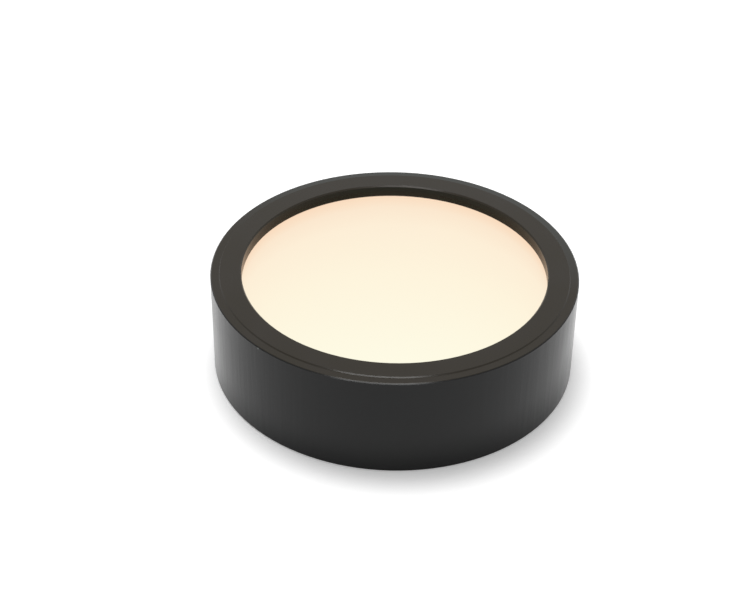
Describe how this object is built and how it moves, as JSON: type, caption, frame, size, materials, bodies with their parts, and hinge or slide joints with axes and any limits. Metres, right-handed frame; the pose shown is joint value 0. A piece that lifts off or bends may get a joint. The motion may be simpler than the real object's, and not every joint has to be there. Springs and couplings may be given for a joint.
{
  "type": "mounted optical bandpass filter",
  "caption": "Round bandpass filter: cemented glass plates with a mirror-like coated face, seated in a black anodised ring cell behind a thin front lip.",
  "frame": {"origin": "centre of the cell's rear face, which the filter stands on", "axes": "+Z along the optical axis, out of the front lip and the coated plate"},
  "size_m": [0.0254, 0.0254, 0.0074],
  "materials": {
    "anodised_cell": "satin",
    "anodised_ring": "satin",
    "mirror_coating": "polished",
    "optical_cement": "gloss",
    "absorbing_glass": "polished",
    "blocking_glass": "polished",
    "black_epoxy": "satin",
    "black_film": "matte"
  },
  "bodies": {
    "root": {"cell_ring": "anodised_cell", "retaining_ring": "anodised_ring", "coated_plate": "mirror_coating", "front_cement": "optical_cement", "colour_glass": "absorbing_glass", "rear_cement": "optical_cement", "blocking_plate": "blocking_glass", "edge_seal": "black_epoxy", "bearing_washer": "black_film"}
  },
  "joints": []
}
